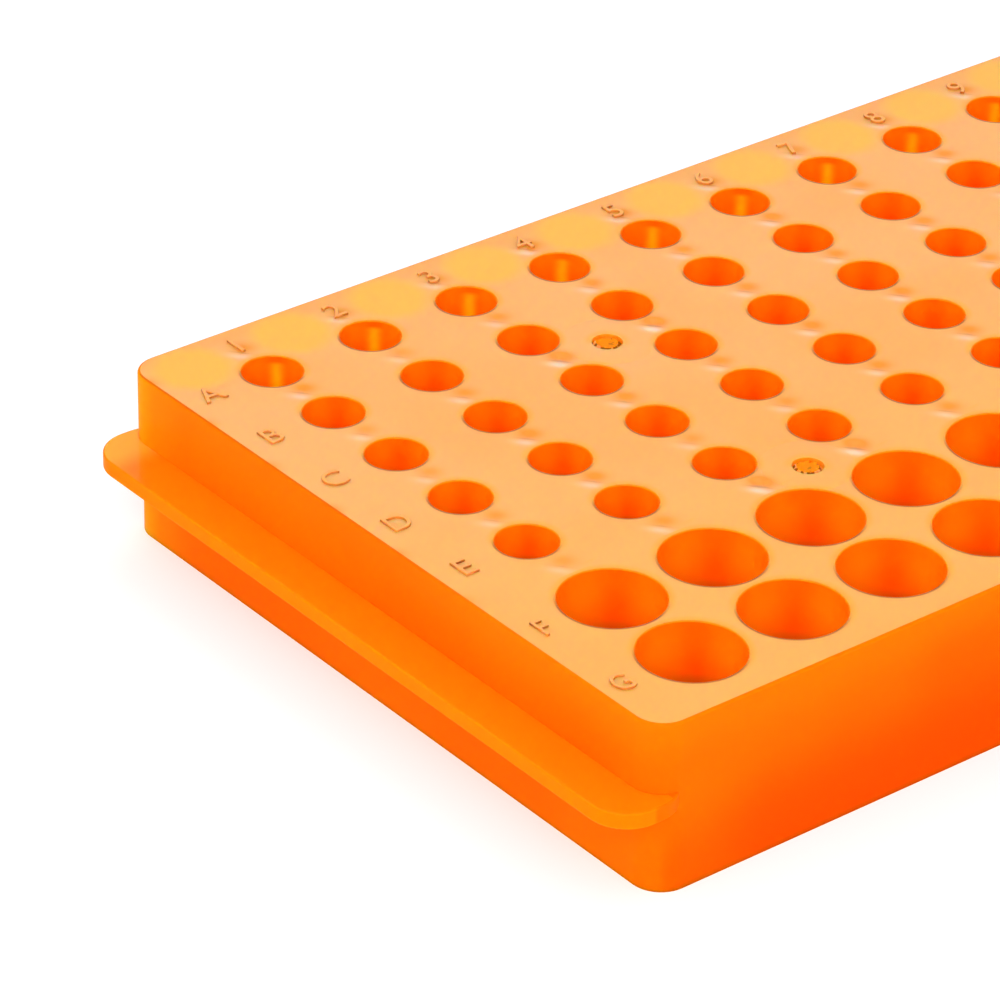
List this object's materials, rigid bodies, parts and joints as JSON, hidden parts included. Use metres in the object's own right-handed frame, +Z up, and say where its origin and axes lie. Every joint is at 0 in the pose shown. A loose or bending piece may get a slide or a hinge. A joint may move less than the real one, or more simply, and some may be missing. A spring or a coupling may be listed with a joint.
{
  "type": "microcentrifuge tube rack",
  "caption": "Low bench rack moulded in one piece, open underneath, with rows of small wells for 0.2 ml tubes, rows of large wells for 1.5 ml and 2 ml tubes, and a grip ledge at each end.",
  "frame": {"origin": "middle of the rack's whole footprint, ledges included, on the surface that it stands on", "axes": "+X along the columns, from column 1 to column 12; +Y from the rows of large wells to row A; +Z up"},
  "size_m": [0.177, 0.0892, 0.0196],
  "materials": {
    "rack_plastic": "glossy translucent orange polypropylene, with a light texture of moulding flow"
  },
  "bodies": {
    "root": {"rack": "rack_plastic"}
  },
  "joints": []
}
